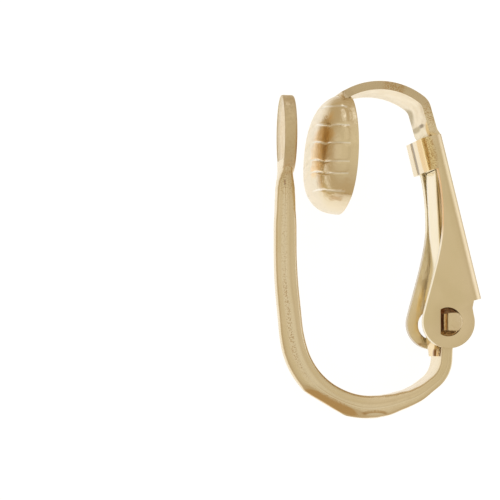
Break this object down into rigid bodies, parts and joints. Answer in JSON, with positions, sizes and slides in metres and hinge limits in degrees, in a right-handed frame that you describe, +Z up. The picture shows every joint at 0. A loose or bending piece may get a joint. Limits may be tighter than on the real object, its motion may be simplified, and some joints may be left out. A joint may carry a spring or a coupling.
{
  "type": "clip on earring",
  "caption": "Clip-on earring finding: round glue disc on a looped wire stem, with a hinged spring clip lever whose ribbed oval pad presses from behind.",
  "frame": {"origin": "under the middle of the whole, on the table that the earring lies on", "axes": "+X from the glue disc towards the clip's back, +Y from the loop towards the top as worn, +Z up from the table"},
  "size_m": [0.0105, 0.0168, 0.0078],
  "materials": {
    "gold_plate": "polished gold plating",
    "pale_gold_plate": "bright gold plating on spring steel"
  },
  "bodies": {
    "frame": {"ear_frame": "gold_plate"},
    "clip": {"clip_lever": "gold_plate", "leaf_spring": "pale_gold_plate"}
  },
  "joints": [
    {"name": "clip_hinge", "type": "hinge", "parent": "frame", "child": "clip", "pos_m": [0.00335, -0.00372, 0.00224], "axis": [0.096, 0.2607, -0.9606], "range_deg": [0, 80]}
  ]
}
